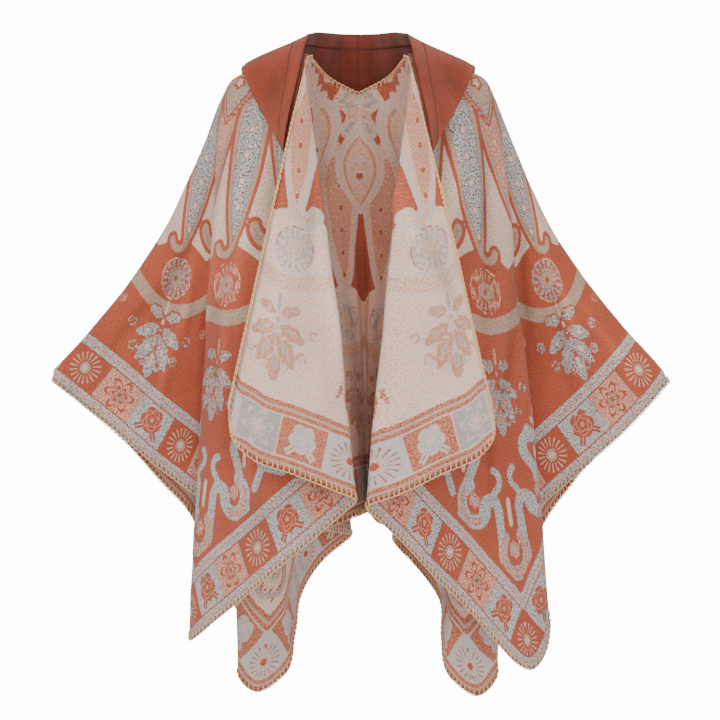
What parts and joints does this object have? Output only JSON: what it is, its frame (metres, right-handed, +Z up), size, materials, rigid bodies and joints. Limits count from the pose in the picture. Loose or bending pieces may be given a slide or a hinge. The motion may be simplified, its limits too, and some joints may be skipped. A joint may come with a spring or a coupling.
{
  "type": "hooded poncho",
  "caption": "Open-front blanket poncho with a hood, hanging hollow as worn: two turned-back fronts, a longer back, wide sleeves and a hood lying on the shoulders.",
  "frame": {"origin": "on the centre line at the height of the shoulder points, where a wearer's shoulders carry the garment", "axes": "+Z up, the garment's front faces -Y, +X towards the right of someone who looks at the front"},
  "size_m": [0.9838, 0.3903, 1.0803],
  "materials": {
    "blanket_cloth": "brushed double-faced jacquard in rust, cream, grey and pink",
    "hood_felt": "plain rust felted knit with a soft nap",
    "stitch_yarn": "twisted peach yarn in blanket stitch"
  },
  "bodies": {
    "root": {"front_left": "blanket_cloth", "front_right": "blanket_cloth", "back": "blanket_cloth", "hood_left": "hood_felt", "hood_right": "hood_felt"}
  },
  "joints": []
}
